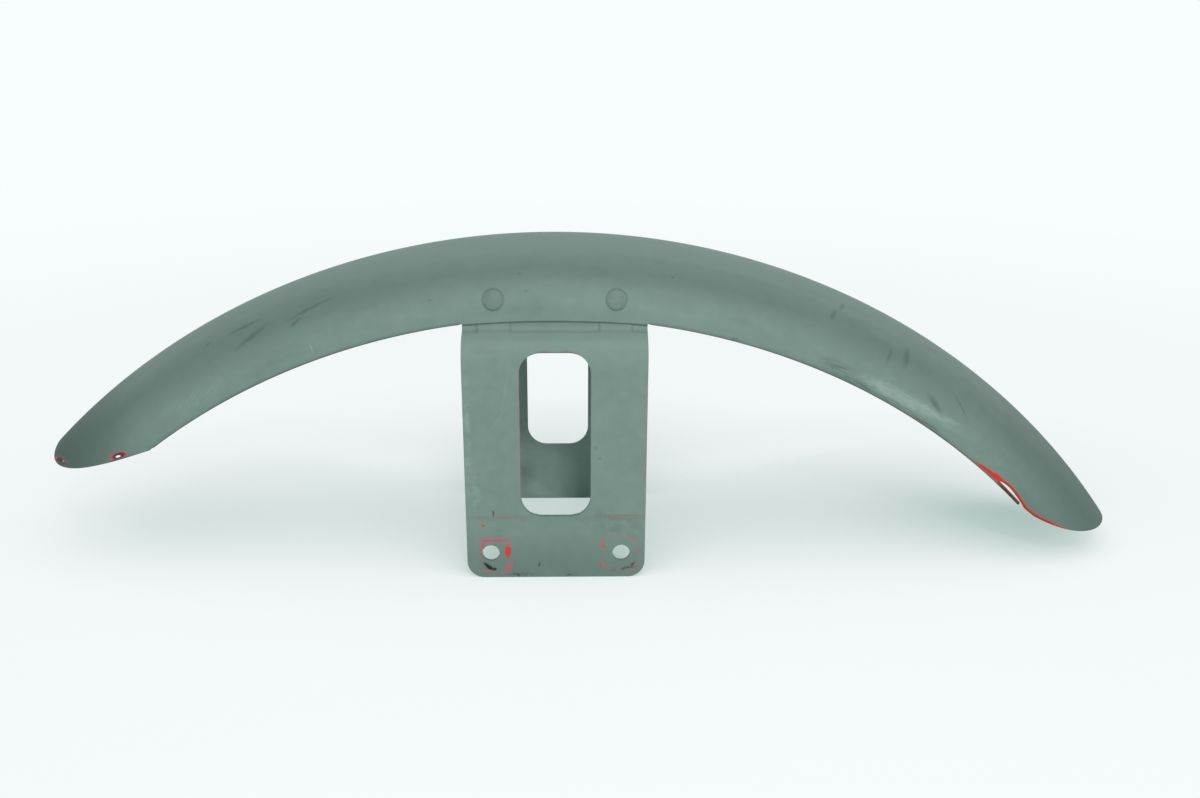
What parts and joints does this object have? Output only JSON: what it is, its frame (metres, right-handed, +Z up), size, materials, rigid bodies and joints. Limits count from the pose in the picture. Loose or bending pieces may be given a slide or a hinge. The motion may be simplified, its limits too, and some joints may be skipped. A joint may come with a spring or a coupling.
{
  "type": "motorcycle front fender",
  "caption": "Curved channel-section front fender blade riveted over a saddle bracket with windowed legs and bolt holes for the fork, in worn grey-green paint.",
  "frame": {"origin": "middle of the overall length and width, at the level of the bracket's feet", "axes": "+X to the rear of the machine, the longer end of the blade; +Y to its right side; +Z up to the crown"},
  "size_m": [0.5378, 0.0986, 0.1608],
  "materials": {
    "blade_paint": "satin grey-green paint over older red paint, scuffed and chipped",
    "bracket_paint": "satin grey-green paint, worn to red at the bolt holes and bends",
    "rivet_paint": "satin grey-green paint"
  },
  "bodies": {
    "root": {"fender_blade": "blade_paint", "fork_bracket": "bracket_paint", "rivets": "rivet_paint"}
  },
  "joints": []
}
